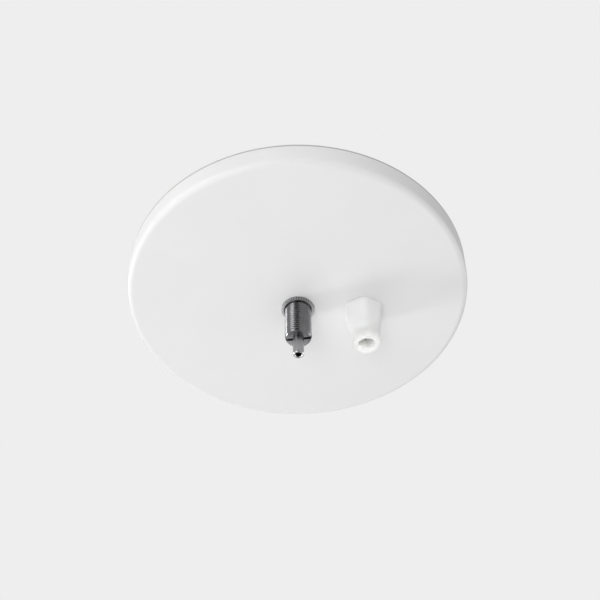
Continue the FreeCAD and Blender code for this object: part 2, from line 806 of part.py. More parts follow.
def terminal_block():
    """The moulded block with a through hole for each brass tube, screw wells and two fixing holes."""
    body = new_body("terminal_block", x=dim["block_x"], y=dim["block_y"])
    outline = new_sketch(body, "XY_Plane", block_bottom)
    draw_rectangle(outline, (ZERO, ZERO), dim["block_width"], dim["pole_pitch"] * len(POLES))
    block = padded(body, outline, block_top - block_bottom)

    def is_upright(edge):
        """Whether an edge is one of the block's upright corners."""
        first, second = (vertex.Point for vertex in edge.Vertexes)
        return math.isclose(abs(first.z - second.z), edge.Length, abs_tol=1e-4)

    rounded(body, block, dim["block_edge"], is_upright)
    wire_holes = new_sketch(body, "YZ_Plane")
    for pole in POLES:
        place = dim["pole_pitch"] * pole if pole else ZERO
        draw_circle(wire_holes, (place, pole_level), dim["insert_diameter"] + dim["insert_clearance"] * 2)
    cut(body, wire_holes, both_ways=True)
    wells = new_sketch(body, "XY_Plane", block_bottom)
    for pole in POLES:
        place = dim["pole_pitch"] * pole if pole else ZERO
        for side in SIDES:
            well = dim["clamp_head"] + dim["head_clearance"] * 2
            draw_circle(wells, (dim["clamp_offset"] * side, place), well)
    cut(body, wells, depth=pole_level - block_bottom, against_normal=False)
    for width, depth in (
        (dim["small_shank"] + dim["head_clearance"] * 2, None),
        (dim["fixing_head"] + dim["head_clearance"] * 2, dim["head_sink"] + dim["fixing_head_height"]),
    ):
        fixings = new_sketch(body, "XY_Plane", block_bottom)
        for side in SIDES:
            draw_circle(fixings, (ZERO, dim["pole_pitch"] / 2 * side), width)
        cut(body, fixings, depth=depth, against_normal=False)
    return keep(body)


def terminal_insert(index, pole):
    """A brass tube for one pole, bored for the wire and tapped for its two clamp screws."""
    place = dim["block_y"] + dim["pole_pitch"] * pole
    body = new_body(f"terminal_insert_{index}", x=dim["block_x"], y=place)
    section = new_sketch(body, "YZ_Plane")
    draw_circle(section, (ZERO, pole_level), dim["insert_diameter"])
    draw_circle(section, (ZERO, pole_level), dim["insert_bore"])
    padded(body, section, dim["insert_length"], symmetric=True)
    taps = new_sketch(body, "XY_Plane", pole_level)
    for side in SIDES:
        tap = dim["small_shank"] + dim["shank_clearance"] * 2
        draw_circle(taps, (dim["clamp_offset"] * side, ZERO), tap)
    cut(body, taps)
    return keep(body)


def clamp_screws():
    """The terminal screws, backed off so that the wire holes are free."""
    tip = pole_level - dim["insert_bore"] / 2
    head_bottom = (
        pole_level - dim["insert_diameter"] / 2 - dim["clamp_lift"] - dim["clamp_head_height"]
    )
    screws = []
    for pole in POLES:
        for side in SIDES:
            screws.append(
                slotted_screw(
                    f"clamp_screw_{len(screws) + 1}",
                    dim["clamp_head"],
                    dim["clamp_head_height"],
                    dim["small_shank"],
                    head_bottom,
                    tip,
                    x=dim["block_x"] + dim["clamp_offset"] * side,
                    y=dim["block_y"] + dim["pole_pitch"] * pole,
                )
            )
    return group("clamp_screws", screws)


def block_screws():
    """The two screws that fasten the terminal block to the bracket's lug."""
    screws = []
    for side in SIDES:
        screws.append(
            slotted_screw(
                f"block_screw_{len(screws) + 1}",
                dim["fixing_head"],
                dim["fixing_head_height"],
                dim["small_shank"],
                block_bottom + dim["head_sink"],
                block_top + dim["bracket_thickness"] - dim["head_sink"],
                x=dim["block_x"],
                y=dim["block_y"] + dim["pole_pitch"] / 2 * side,
            )
        )
    return group("block_screws", screws)


def write_parts():
    """Checks every object and writes one file for each sub-part."""
    doc.recompute()
    failed = [item.Name for item in doc.Objects if {"Invalid", "Error"} & set(item.State)]
    if failed:
        raise RuntimeError(f"failed objects: {failed}")
    for sub_part in sub_parts:
        if sub_part.Shape.isNull() or not sub_part.Shape.isValid():
            raise RuntimeError(f"{sub_part.Label} has no valid shape")
    os.makedirs("parts", exist_ok=True)
    for sub_part in sub_parts:
        sub_part.Shape.exportStep(f"parts/{sub_part.Label}.step")


canopy()
ring_nut()
gripper_housing()
gripper_plunger()
clamping_balls()
gripper_spring()
spring_retainer()
mounting_bracket()
hexagon_nut("bracket_nut", bridge_top, nut_top)
earth_terminal()
terminal_block()
for number, pole_place in enumerate(POLES, start=1):
    terminal_insert(number, pole_place)
clamp_screws()
block_screws()
cord_nipple()
tube(
    "nipple_washer",
    dim["nipple_washer_diameter"] / 2,
    canopy_hole_radius,
    inner_face,
    washer_top,
    x=dim["cord_offset"],
)
hexagon_nut("nipple_nut", washer_top, nipple_nut_top, x=dim["cord_offset"])
cord_jaws()
cord_cap()
write_parts()
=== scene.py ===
"""Ceiling rose for a pendant lamp: the looks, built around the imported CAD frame.

Metres, +Z up. The ceiling plane is z = 0, the canopy's axis is on the origin and +X points to the
cord grip. Sizes of the rose and the view are in millimetres, those of the studio in metres.
"""

import logging
import math
from dataclasses import dataclass, field
from enum import Enum
from typing import Callable, Sequence

import bmesh
import bpy
from mathutils import Matrix, Vector


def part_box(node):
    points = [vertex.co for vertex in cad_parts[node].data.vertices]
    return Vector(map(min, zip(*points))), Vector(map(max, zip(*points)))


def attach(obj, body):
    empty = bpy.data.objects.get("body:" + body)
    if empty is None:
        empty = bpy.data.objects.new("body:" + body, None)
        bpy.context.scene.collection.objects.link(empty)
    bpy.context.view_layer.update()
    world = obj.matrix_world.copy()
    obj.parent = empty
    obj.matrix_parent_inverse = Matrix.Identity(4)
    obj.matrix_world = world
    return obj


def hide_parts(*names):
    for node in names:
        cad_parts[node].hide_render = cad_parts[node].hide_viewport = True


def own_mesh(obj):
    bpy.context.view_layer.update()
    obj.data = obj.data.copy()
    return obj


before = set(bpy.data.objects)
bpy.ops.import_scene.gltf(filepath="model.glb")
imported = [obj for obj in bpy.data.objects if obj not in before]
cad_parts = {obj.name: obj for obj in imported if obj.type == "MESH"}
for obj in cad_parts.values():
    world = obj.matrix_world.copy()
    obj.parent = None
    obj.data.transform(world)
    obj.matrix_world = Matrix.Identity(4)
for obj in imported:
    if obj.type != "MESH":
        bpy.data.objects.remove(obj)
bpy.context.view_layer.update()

log = logging.getLogger("ceiling_rose")

MM = 0.001
FULL_TURN = 2 * math.pi
DRILL_SEGMENTS = 72
FINE_DETAIL = 3.0

Piece = bpy.types.Object
Material = bpy.types.Material
Socket = bpy.types.NodeSocket
Colour = tuple[float, float, float]
RingPoint = tuple[float, float]
Row = Callable[[float], RingPoint]


class ToolMark(Enum):
    """How the fine marks of a metal finish lie."""

    TURNED = "rings left by the lathe"
    ROLLED = "streaks along the sheet"
    TUMBLED = "even scuffing from the plating barrel"


class Reach(Enum):
    """Whether a light works on matt surfaces and whether it shows in shiny ones."""

    ALL = (True, True)
    MATT = (True, False)
    SHINE = (False, True)


class EdgeLook(Enum):
    """How far two faces have to turn, in degrees, before their edge shows."""

    SMOOTH = 60.0
    CRISP = 32.0


class ShaderBench:
    """A material under construction, with the node recipes that the finishes share."""

    def __init__(self, name: str) -> None:
        """Starts a material that holds only a Principled shader.

        Args:
            name: Name of the new material.
        """
        self.material = bpy.data.materials.new(name)
        self.material.use_nodes = True
        self.nodes = self.material.node_tree.nodes
        self.links = self.material.node_tree.links
        self.shader = self.nodes["Principled BSDF"]
        coordinates = self.nodes.new("ShaderNodeTexCoord")
        self.place = coordinates.outputs["Object"]
        self.facing = coordinates.outputs["Normal"]

    def node(
        self, kind: str, inputs: dict[str | int, object], **settings: object
    ) -> bpy.types.Node:
        """Adds a node.

        Args:
            kind: Blender's node type.
            inputs: Values or sockets for its inputs, by name or index.
            settings: Values for the node's own settings.

        Returns:
            The new node.
        """
        made = self.nodes.new(kind)
        for name, value in settings.items():
            setattr(made, name, value)
        for key, value in inputs.items():
            self.feed(made.inputs[key], value)
        return made

    def feed(self, target: Socket, value: object) -> None:
        """Links or sets an input.

        Args:
            target: The input.
            value: A socket to link to it, or its constant value.
        """
        if isinstance(value, Socket):
            self.links.new(value, target)
        else:
            target.default_value = value

    def maths(self, operation: str, *values: Socket | float) -> Socket:
        """Works out a number from others."""
        return self.node("ShaderNodeMath", dict(enumerate(values)), operation=operation).outputs[0]

    def vectors(self, operation: str, *values: Socket | Sequence[float]) -> bpy.types.Node:
        """Works out a vector or a length from vectors."""
        return self.node("ShaderNodeVectorMath", dict(enumerate(values)), operation=operation)

    def level(self, vector: Socket | None = None) -> Socket:
        """The upright part of a vector, or of the place on the object."""
        return self.node("ShaderNodeSeparateXYZ", {0: vector or self.place}).outputs["Z"]

    def stretched(self, scale: Sequence[float]) -> Socket:
        """Object coordinates, scaled along each axis."""
        inputs = {"Vector": self.place, "Scale": scale}
        return self.node("ShaderNodeMapping", inputs).outputs["Vector"]

    def mottle(self, size: float, detail: float = 2.0, vector: Socket | None = None) -> Socket:
        """Cloudy noise from 0 to 1, with patches of a size in metres and finer layers of detail."""
        inputs = {"Vector": vector or self.place, "Scale": 1 / size, "Detail": detail}
        return self.node("ShaderNodeTexNoise", inputs).outputs["Fac"]

    def clouds(self, size: float, detail: float = FINE_DETAIL) -> Socket:
        """Soft patches of a width in metres, as a socket from 0 to 1."""
        return self.spread(self.mottle(size, detail), 0.0, 1.0)

    def reach(self, axis: RingPoint) -> Socket:
        """Distance from an upright axis.

        Args:
            axis: Where the axis stands.

        Returns:
            A socket in metres.
        """
        foot = (axis[0] * MM, axis[1] * MM, 0.0)
        arm = self.vectors("SUBTRACT", self.place, foot).outputs[0]
        flat = self.vectors("MULTIPLY", arm, (1.0, 1.0, 0.0)).outputs[0]
        return self.vectors("LENGTH", flat).outputs["Value"]

    def rings(self, size: float, axis: RingPoint) -> Socket:
        """Noise that changes only with the distance from an upright axis and with the level.

        Args:
            size: Width of a ring in metres.
            axis: Where the axis stands.

        Returns:
            A socket from 0 to 1.
        """
        along = self.maths("ADD", self.reach(axis), self.level())
        inputs = {"W": along, "Scale": 1 / size, "Detail": FINE_DETAIL}
        return self.node("ShaderNodeTexNoise", inputs, noise_dimensions="1D").outputs["Fac"]

    def specks(self, spacing: float, radius: float) -> Socket:
        """Scattered dots.

        Args:
            spacing: Mean distance between them in metres.
            radius: Their radius in metres.

        Returns:
            A socket that is 1 in a dot and 0 elsewhere.
        """
        cells = self.node("ShaderNodeTexVoronoi", {"Vector": self.place, "Scale": 1 / spacing})
        end = radius / spacing
        return self.spread(cells.outputs["Distance"], 1.0, 0.0, (0.5 * end, end))

    def spread(
        self, value: Socket, low: float, high: float, span: tuple[float, float] = (0.3, 0.7)
    ) -> Socket:
        """Maps a span of a socket's values onto low to high, and holds it there."""
        ends = {"From Min": span[0], "From Max": span[1], "To Min": low, "To Max": high}
        return self.node("ShaderNodeMapRange", {"Value": value, **ends}).outputs["Result"]

    def tone(self, share: Socket, first: Colour | Socket, second: Colour) -> Socket:
        """Blends two colours.

        Args:
            share: 0 for the first colour, 1 for the second.
            first: A colour or a socket that gives one.
            second: A colour.

        Returns:
            The colour socket.
        """
        mix = self.node("ShaderNodeMix", {0: share}, data_type="RGBA")
        self.feed(mix.inputs[6], first if isinstance(first, Socket) else (*first, 1.0))
        self.feed(mix.inputs[7], (*second, 1.0))
        return mix.outputs[2]

    def relief(self, height: Socket, depth: float) -> Socket:
        """A normal for marks of a depth in metres."""
        return self.node("ShaderNodeBump", {"Height": height, "Distance": depth}).outputs["Normal"]

    def blend(self, share: Socket, other: Socket) -> None:
        """Mixes another shader over the Principled one.

        Args:
            share: How much the other one shows, from 0 to 1.
            other: The other shader.
        """
        parts = {0: share, 1: self.shader.outputs[0], 2: other}
        mixed = self.node("ShaderNodeMixShader", parts).outputs[0]
        self.links.new(mixed, self.nodes["Material Output"].inputs["Surface"])

    def let_through(self, share: Socket, colour: Colour) -> None:
        """Lets a share of the light, from 0 to 1, glow through the surface in a colour."""
        glow = self.node("ShaderNodeBsdfTranslucent", {"Color": (*colour, 1.0)})
        self.blend(share, glow.outputs[0])

    def set(self, **inputs: object) -> Material:
        """Sets or links the shader's inputs, with underscores for spaces.

        Args:
            inputs: Values or sockets, by input name.

        Returns:
            The finished material.
        """
        for name, value in inputs.items():
            self.feed(self.shader.inputs[name.replace("_", " ")], value)
        return self.material


@dataclass(frozen=True)
class Enamel:
    """Stoved enamel on pressed sheet: almost even, faintly pebbled, with a few specks."""

    name: str
    light: Colour
    dark: Colour
    speck: Colour
    roughness: tuple[float, float]
    peel_size: float
    peel_depth: float
    # Colour of a painted shade line along the top of the rim.
    thin: Colour
    cloud_size: float = 24.0
    shine_size: float = 9.0
    speck_spacing: float = 6.5
    speck_radius: float = 0.16
    refraction: float = 1.45
    gloss: float = 0.2

    def material(self, rim_shade_levels: tuple[float, float]) -> Material:
        """Mixes the finish.

        Args:
            rim_shade_levels: Levels between which the colour fades into a painted shade line at the
                rim.

        Returns:
            The material.
        """
        bench = ShaderBench(self.name)
        dots = bench.specks(self.speck_spacing * MM, self.speck_radius * MM)
        start, end = rim_shade_levels
        # Painted shade line: the colour turns to the thin colour above these levels.
        rim = bench.spread(bench.level(), 0.0, 1.0, (start * MM, end * MM))
        clean = bench.tone(bench.clouds(self.cloud_size * MM), self.light, self.dark)
        coat = bench.tone(dots, clean, self.speck)
        return bench.set(
            Base_Color=bench.tone(rim, coat, self.thin),
            Roughness=bench.spread(bench.mottle(self.shine_size * MM), *self.roughness),
            Normal=bench.relief(bench.mottle(self.peel_size * MM), self.peel_depth * MM),
            IOR=self.refraction,
            Specular_IOR_Level=self.gloss,
        )


@dataclass(frozen=True)
class Plate:
    """Plated or bare metal with the marks of how it was worked."""

    name: str
    light: Colour
    dark: Colour
    roughness: tuple[float, float]
    mark: ToolMark
    mark_size: float
    mark_depth: float
    cloud_size: float = 3.5
    streak: tuple[float, float, float] = (1.0, 0.06, 1.0)

    def marks(self, bench: ShaderBench, axis: RingPoint) -> Socket:
        """The pattern of the tool's marks.

        Args:
            bench: The material under construction.
            axis: Where the lathe's axis stood.

        Returns:
            A socket from 0 to 1.
        """
        size = self.mark_size * MM
        if self.mark is ToolMark.TURNED:
            return bench.rings(size, axis)
        if self.mark is ToolMark.ROLLED:
            return bench.mottle(size, FINE_DETAIL, bench.stretched(self.streak))
        return bench.mottle(size, FINE_DETAIL)

    def colour(self, bench: ShaderBench, axis: RingPoint) -> Socket:
        """The plating's clouded colour."""
        return bench.tone(bench.clouds(self.cloud_size * MM), self.light, self.dark)

    def material(self, axis: RingPoint = (0.0, 0.0)) -> Material:
        """Mixes the finish.

        Args:
            axis: The axis that turned marks run round.

        Returns:
            The material.
        """
        bench = ShaderBench(self.name)
        marks = self.marks(bench, axis)
        return bench.set(
            Base_Color=self.colour(bench, axis),
            Metallic=1.0,
            Roughness=bench.spread(marks, *self.roughness),
            Normal=bench.relief(marks, self.mark_depth * MM),
        )


@dataclass(frozen=True)
class KnurledPlate(Plate):
    """Plated metal with painted shade on the upright sides of its knurl's grooves."""

    # Colour of the painted shade in the knurl's grooves.
    groove_shade: Colour = (0.08, 0.08, 0.08)
    crest_radius: float = 6.35
    groove_depth: float = 0.36
    shade_depth_span: tuple[float, float] = (0.8, 0.1)
    upright_span: tuple[float, float] = (0.2, 0.6)

    def colour(self, bench: ShaderBench, axis: RingPoint) -> Socket:
        """The plating's colour, with painted shade on the upright sides of the grooves.

        Args:
            bench: The material under construction.
            axis: The axis that the knurl runs round.

        Returns:
            The colour socket.
        """
        deep, shallow = (
            (self.crest_radius - share * self.groove_depth) * MM for share in self.shade_depth_span
        )
        sunk = bench.spread(bench.reach(axis), 1.0, 0.0, (deep, shallow))
        tilt = bench.maths("ABSOLUTE", bench.level(bench.facing))
        upright = bench.spread(tilt, 1.0, 0.0, self.upright_span)
        # Where shade is painted: deep in the grooves and on their upright sides.
        dark = bench.maths("MULTIPLY", sunk, upright)
        return bench.tone(dark, super().colour(bench, axis), self.groove_shade)


@dataclass(frozen=True)
class Plastic:
    """Moulded plastic: slightly clouded, with a fine skin, and milky where its wall is thin."""

    name: str
    light: Colour
    dark: Colour
    roughness: tuple[float, float]
    skin_size: float
    skin_depth: float
    depth_of_light: float
    milky: float = 0.0
    cloud_size: float = 5.0
    refraction: float = 1.46
    scatter: float = 1.0
    scatter_tint: Colour = (1.0, 0.98, 0.94)

    def material(self, thick_level: float = 0.0, thin_level: float = 0.0) -> Material:
        """Mixes the finish.

        Args:
            thick_level: Level above which no light comes through the wall.
            thin_level: Level where most comes through.

        Returns:
            The material.
        """
        bench = ShaderBench(self.name)
        skin = bench.mottle(self.skin_size * MM)
        bench.set(
            Base_Color=bench.tone(bench.clouds(self.cloud_size * MM), self.light, self.dark),
            Roughness=bench.spread(skin, *self.roughness),
            Normal=bench.relief(skin, self.skin_depth * MM),
            IOR=self.refraction,
            Subsurface_Weight=self.scatter,
            Subsurface_Radius=self.scatter_tint,
            Subsurface_Scale=self.depth_of_light * MM,
        )
        if self.milky:
            span = (thin_level * MM, thick_level * MM)
            bench.let_through(bench.spread(bench.level(), self.milky, 0.0, span), self.light)
        return bench.material


# Its thin colour is a painted shade line along the rim.
WHITE_ENAMEL = Enamel(
    "white_enamel", light=(0.862, 0.862, 0.860), dark=(0.846, 0.846, 0.846),
    speck=(0.58, 0.57, 0.56), thin=(0.48, 0.48, 0.48),
    roughness=(0.42, 0.50), peel_size=1.6, peel_depth=0.006,
)
DARK_NICKEL = Plate(
    "dark_nickel", light=(0.19, 0.19, 0.195), dark=(0.145, 0.145, 0.15),
    roughness=(0.20, 0.30), mark=ToolMark.TURNED, mark_size=0.12, mark_depth=0.004,
)
SATIN_NICKEL = Plate(
    "satin_nickel", light=(0.38, 0.38, 0.385), dark=(0.32, 0.32, 0.33),
    roughness=(0.27, 0.38), mark=ToolMark.TURNED, mark_size=0.16, mark_depth=0.005,
)
KNURLED_NICKEL = KnurledPlate(
    "knurled_nickel", light=(0.54, 0.54, 0.545), dark=(0.45, 0.45, 0.46),
    roughness=(0.54, 0.64), mark=ToolMark.TUMBLED, mark_size=0.2, mark_depth=0.01,
)
BRIGHT_STEEL = Plate(
    "bright_steel", light=(0.62, 0.62, 0.64), dark=(0.54, 0.54, 0.56),
    roughness=(0.12, 0.22), mark=ToolMark.TUMBLED, mark_size=0.3, mark_depth=0.003,
)
TURNED_BRASS = Plate(
    "turned_brass", light=(0.78, 0.60, 0.29), dark=(0.66, 0.48, 0.21),
    roughness=(0.20, 0.34), mark=ToolMark.TUMBLED, mark_size=0.25, mark_depth=0.005,
)
ZINC_SHEET = Plate(
    "zinc_sheet", light=(0.68, 0.69, 0.71), dark=(0.55, 0.56, 0.58),
    roughness=(0.26, 0.42), mark=ToolMark.ROLLED, mark_size=0.6, mark_depth=0.008,
)
ZINC_TURNED = Plate(
    "zinc_turned", light=(0.68, 0.69, 0.70), dark=(0.58, 0.58, 0.60),
    roughness=(0.22, 0.36), mark=ToolMark.TURNED, mark_size=0.2, mark_depth=0.006,
)
ZINC_BARREL = Plate(
    "zinc_barrel", light=(0.66, 0.67, 0.69), dark=(0.55, 0.56, 0.58),
    roughness=(0.24, 0.40), mark=ToolMark.TUMBLED, mark_size=0.35, mark_depth=0.006,
)
WHITE_PLASTIC = Plastic(
    "white_plastic", light=(0.965, 0.965, 0.96), dark=(0.95, 0.95, 0.945),
    roughness=(0.34, 0.44), skin_size=0.25, skin_depth=0.004, depth_of_light=1.6, milky=0.75,
)
JAW_PLASTIC = Plastic(
    "jaw_plastic", light=(0.975, 0.975, 0.97), dark=(0.96, 0.96, 0.955),
    roughness=(0.34, 0.44), skin_size=0.25, skin_depth=0.004, depth_of_light=1.6, milky=0.9,
)
BLOCK_NYLON = Plastic(
    "block_nylon", light=(0.81, 0.80, 0.75), dark=(0.76, 0.75, 0.69),
    roughness=(0.42, 0.54), skin_size=0.3, skin_depth=0.008, depth_of_light=1.2,
)


@dataclass(frozen=True)
class LampThread:
    """The fine lamp thread: right-handed, one turn for each millimetre of its length."""

    crest_radius: float
    depth: float = 0.34
    pitch: float = 1.0
    crest_share: float = 0.12
    root_share: float = 0.12

    def radius(self, angle: float, level: float) -> float:
        """Radius of the thread.

        Args:
            angle: Angle round the axis in radians.
            level: Height.

        Returns:
            The radius there.
        """
        phase = (level / self.pitch - angle / FULL_TURN) % 1.0
        from_crest = min(phase, 1.0 - phase)
        flank = (1.0 - self.crest_share - self.root_share) / 2
        sunk = (from_crest - self.crest_share / 2) / flank
        return self.crest_radius - self.depth * min(1.0, max(0.0, sunk))

    def row(self, level: float, limit: float) -> Row:
        """A row of points round the thread, nowhere farther out than the limit."""
        return lambda angle: (min(self.radius(angle, level), limit), level)


def ring_row(radius: float, level: float) -> Row:
    """A row of points at one radius and level."""
    return lambda angle: (radius, level)


def arc_rows(centre: RingPoint, radius: float, start: float, end: float, steps: int) -> list[Row]:
    """Rows round a fillet.

    Args:
        centre: Radius and level of the fillet's centre.
        radius: The fillet's own radius.
        start: First angle in degrees, from straight outwards and positive upwards.
        end: Last angle in degrees.
        steps: How many parts the arc has.

    Returns:
        The rows, ends included.
    """
    out, level = centre
    angles = [math.radians(start + (end - start) * step / steps) for step in range(steps + 1)]
    return [
        ring_row(out + radius * math.cos(angle), level + radius * math.sin(angle))
        for angle in angles
    ]


def add_object(name: str, data: bpy.types.ID) -> Piece:
    """Adds an object with its mesh, light or camera to the scene.

    Args:
        name: The object's name.
        data: What it holds.

    Returns:
        The new object.
    """
    made = bpy.data.objects.new(name, data)
    bpy.context.scene.collection.objects.link(made)
    return made


def new_piece(name: str, form: bmesh.types.BMesh, edges: EdgeLook) -> Piece:
    """Turns a finished form into an object of the scene.

    Args:
        name: The piece's name.
        form: Its mesh, which is used up.
        edges: Which of its edges show.

    Returns:
        The new object.
    """
    bmesh.ops.recalc_face_normals(form, faces=form.faces)
    mesh = bpy.data.meshes.new(name)
    form.to_mesh(mesh)
    form.free()
    piece = add_object(name, mesh)
    soften(piece, edges)
    return piece


def bridge(form: bmesh.types.BMesh, loops: Sequence[list[bmesh.types.BMVert]]) -> None:
    """Joins each loop of points to the next with faces.

    Args:
        form: The mesh under construction.
        loops: Its loops in order, all with the same number of points.
    """
    for loop, after in zip(loops, loops[1:]):
        for side in range(len(loop)):
            ahead = (side + 1) % len(loop)
            form.faces.new((loop[side], loop[ahead], after[ahead], after[side]))


def soften(piece: Piece, edges: EdgeLook) -> None:
    """Shades a piece smooth up to its sharp edges."""
    piece.data.shade_smooth()
    piece.data.set_sharp_from_angle(angle=math.radians(edges.value))


def spun(
    name: str, rows: Sequence[Row], segments: int, edges: EdgeLook, foot: RingPoint = (0.0, 0.0)
) -> Piece:
    """Spins a closed outline round an upright axis.

    Args:
        name: The piece's name.
        rows: The outline's points in order, each as a function of the angle.
        segments: How many parts a turn has.
        edges: Which of its edges show.
        foot: Where the axis stands.

    Returns:
        The new object, a closed ring.
    """
    form = bmesh.new()
    angles = [FULL_TURN * index / segments for index in range(segments)]
    loops = []
    for row in rows:
        loop = []
        for angle in angles:
            radius, level = row(angle)
            x, y = foot[0] + radius * math.cos(angle), foot[1] + radius * math.sin(angle)
            loop.append(form.verts.new((x * MM, y * MM, level * MM)))
        loops.append(loop)
    bridge(form, [*loops, loops[0]])
    return new_piece(name, form, edges)


def carve(piece: Piece, cutters: Sequence[Piece], edges: EdgeLook) -> None:
    """Cuts tools out of a piece and removes them.

    Args:
        piece: What is cut.
        cutters: The closed shapes that are taken away.
        edges: Which of its edges show.
    """
    for cutter in cutters:
        modifier = piece.modifiers.new("carve", "BOOLEAN")
        modifier.operation = "DIFFERENCE"
        modifier.solver = "EXACT"
        modifier.object = cutter
    depsgraph = bpy.context.evaluated_depsgraph_get()
    plain = piece.data
    carved = bpy.data.meshes.new_from_object(piece.evaluated_get(depsgraph))
    piece.modifiers.clear()
    piece.data = carved
    carved.name = piece.name
    bpy.data.meshes.remove(plain)
    for cutter in cutters:
        bpy.data.meshes.remove(cutter.data)
    soften(piece, edges)


def drill(place: Matrix, radius: float, length: float) -> Piece:
    """A round cutter.

    Args:
        place: Its middle and turn; it points along its own Z.
        radius: Its radius.
        length: Its length.

    Returns:
        The cutter.
    """
    form = bmesh.new()
    size = {"radius1": radius * MM, "radius2": radius * MM, "depth": length * MM}
    bmesh.ops.create_cone(form, cap_ends=True, segments=DRILL_SEGMENTS, matrix=place, **size)
    return new_piece("drill", form, EdgeLook.CRISP)


def saw(place: Matrix, size: Sequence[float]) -> Piece:
    """A square cutter.

    Args:
        place: Its middle and turn.
        size: Its three lengths.

    Returns:
        The cutter.
    """
    form = bmesh.new()
    bmesh.ops.create_cube(form, size=MM, matrix=place @ Matrix.Diagonal((*size, 1.0)))
    return new_piece("saw", form, EdgeLook.CRISP)


def shift(x: float, y: float, z: float) -> Matrix:
    """A move in millimetres."""
    return Matrix.Translation((x * MM, y * MM, z * MM))


def upright_turn(degrees: float) -> Matrix:
    """A turn about the upright axis."""
    return Matrix.Rotation(math.radians(degrees), 4, "Z")


def direction(bearing: float, height: float) -> Vector:
    """The way to a bearing from +X and a height above the level.

    Args:
        bearing: The bearing in degrees.
        height: The height in degrees.

    Returns:
        A vector of length one.
    """
    turn, lift = math.radians(bearing), math.radians(height)
    flat = math.cos(lift)
    return Vector((math.cos(turn) * flat, math.sin(turn) * flat, math.sin(lift)))


def levels_of(node: str) -> tuple[float, float]:
    """Lowest and highest level of a CAD node, in millimetres."""
    low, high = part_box(node)
    return low.z / MM, high.z / MM


def stand_off(thing: Piece, target: Vector, bearing: float, height: float, distance: float) -> None:
    """Stands a thing away from a point and turns it to face the point.

    Args:
        thing: What is placed.
        target: The point in metres.
        bearing: Bearing from the point in degrees.
        height: Height above its level in degrees.
        distance: Distance in metres.
    """
    away = direction(bearing, height)
    thing.location = target + away * distance
    thing.rotation_mode = "QUATERNION"
    thing.rotation_quaternion = (-away).to_track_quat("-Z", "Y")


class SubAssembly:
    """What the groups of pieces share: dressing CAD nodes and seating new pieces."""

    body: str

    def dress(self, node: str, material: Material) -> str:
        """Gives a CAD node its finish.

        Args:
            node: The CAD node.
            material: Its finish.

        Returns:
            The node's name.
        """
        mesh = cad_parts[node].data
        mesh.materials.clear()
        mesh.materials.append(material)
        return node

    def seat(self, piece: Piece, node: str, slot: str, material: Material, body: str = "") -> str:
        """Puts a new piece in the place of a CAD node.

        Args:
            piece: The new piece.
            node: The CAD node that it stands for.
            slot: The record's material slot; not used.
            material: Its finish.
            body: The CAD body that it rides on, or nothing for the group's own.

        Returns:
            The piece's name.
        """
        piece.data.materials.clear()
        piece.data.materials.append(material)
        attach(piece, body or self.body)
        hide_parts(node)
        return piece.name

    def build(self) -> list[str]:
        """Makes and dresses the group's pieces, and returns their names."""
        raise NotImplementedError


@dataclass
class CanopyPan(SubAssembly):
    """The pressed steel canopy with its white enamel."""

    body: str = "canopy_shell"
    radius: float = 65.0
    wall: float = 1.0
    lean: float = 0.74
    edge_radius: float = 2.25
    hole_radius: float = 5.25
    cord_offset: float = 25.0
    rim_round: float = 0.6
    rim_inside: float = 0.2
    # Depth of the painted shade line at the top of the rim, and its fade.
    rim_shade_band: float = 1.3
    rim_shade_fade: float = 0.2
    support: float = 0.5
    segments: int = 288
    edge_steps: tuple[int, int] = (14, 8)
    rim_steps: tuple[int, int] = (6, 4)
    face_rings: tuple[float, ...] = (54.0, 44.0, 34.0, 18.0, 9.0)

    def fillet(self, foot: float, floor: float, radius: float, steps: int) -> list[Row]:
        """Rows that round the corner between the leaning wall and the face.

        Args:
            foot: Radius where wall and face would meet.
            floor: The face's level.
            radius: The fillet's radius.
            steps: How many parts it has.

        Returns:
            The rows from the face to the wall.
        """
        height = -levels_of("canopy")[0]
        tilt = math.degrees(math.atan2(self.lean, height))
        inset = radius * math.tan(math.radians(90 - tilt) / 2)
        centre = (foot - inset, floor + radius)
        return arc_rows(centre, radius, -90.0, -tilt, steps)

    def outline(self) -> list[Row]:
        """The pan's section, from its centre hole along the face, up the wall and back inside.

        Returns:
            The rows of its closed outline.
        """
        low, high = levels_of("canopy")
        inside = low + self.wall
        foot = self.radius - self.lean
        outside_steps, inside_steps = self.edge_steps
        bead_steps, lip_steps = self.rim_steps
        outer = self.fillet(foot, low, self.edge_radius, outside_steps)
        inner = self.fillet(foot - self.wall, inside, self.edge_radius - self.wall, inside_steps)
        outer_start, inner_start = outer[0](0.0)[0], inner[0](0.0)[0]
        bead, lip = self.rim_round, self.rim_inside
        face = [self.hole_radius, *reversed(self.face_rings), outer_start - self.support]
        lining = [inner_start - self.support, *self.face_rings, self.hole_radius]
        return [
            *(ring_row(reach, low) for reach in face),
            *outer,
            *arc_rows((self.radius - bead, high - bead), bead, 0.0, 90.0, bead_steps),
            *arc_rows((self.radius - self.wall + lip, high - lip), lip, 90.0, 180.0, lip_steps),
            *reversed(inner),
            *(ring_row(reach, inside) for reach in lining),
        ]

    def build(self) -> list[str]:
        """Spins the pan, drills the cord grip's hole and enamels it.

        Returns:
            The pan's name.
        """
        pan = spun("canopy_pan", self.outline(), self.segments, EdgeLook.CRISP)
        low, high = levels_of("canopy")
        hole = drill(shift(self.cord_offset, 0.0, low), self.hole_radius, 4 * self.wall)
        carve(pan, [hole], EdgeLook.CRISP)
        # The top of the rim gets a painted shade line.
        rim_shade_start = high - self.rim_shade_band
        enamel = WHITE_ENAMEL.material((rim_shade_start, rim_shade_start + self.rim_shade_fade))
        return [self.seat(pan, "canopy", "white_enamel", enamel)]


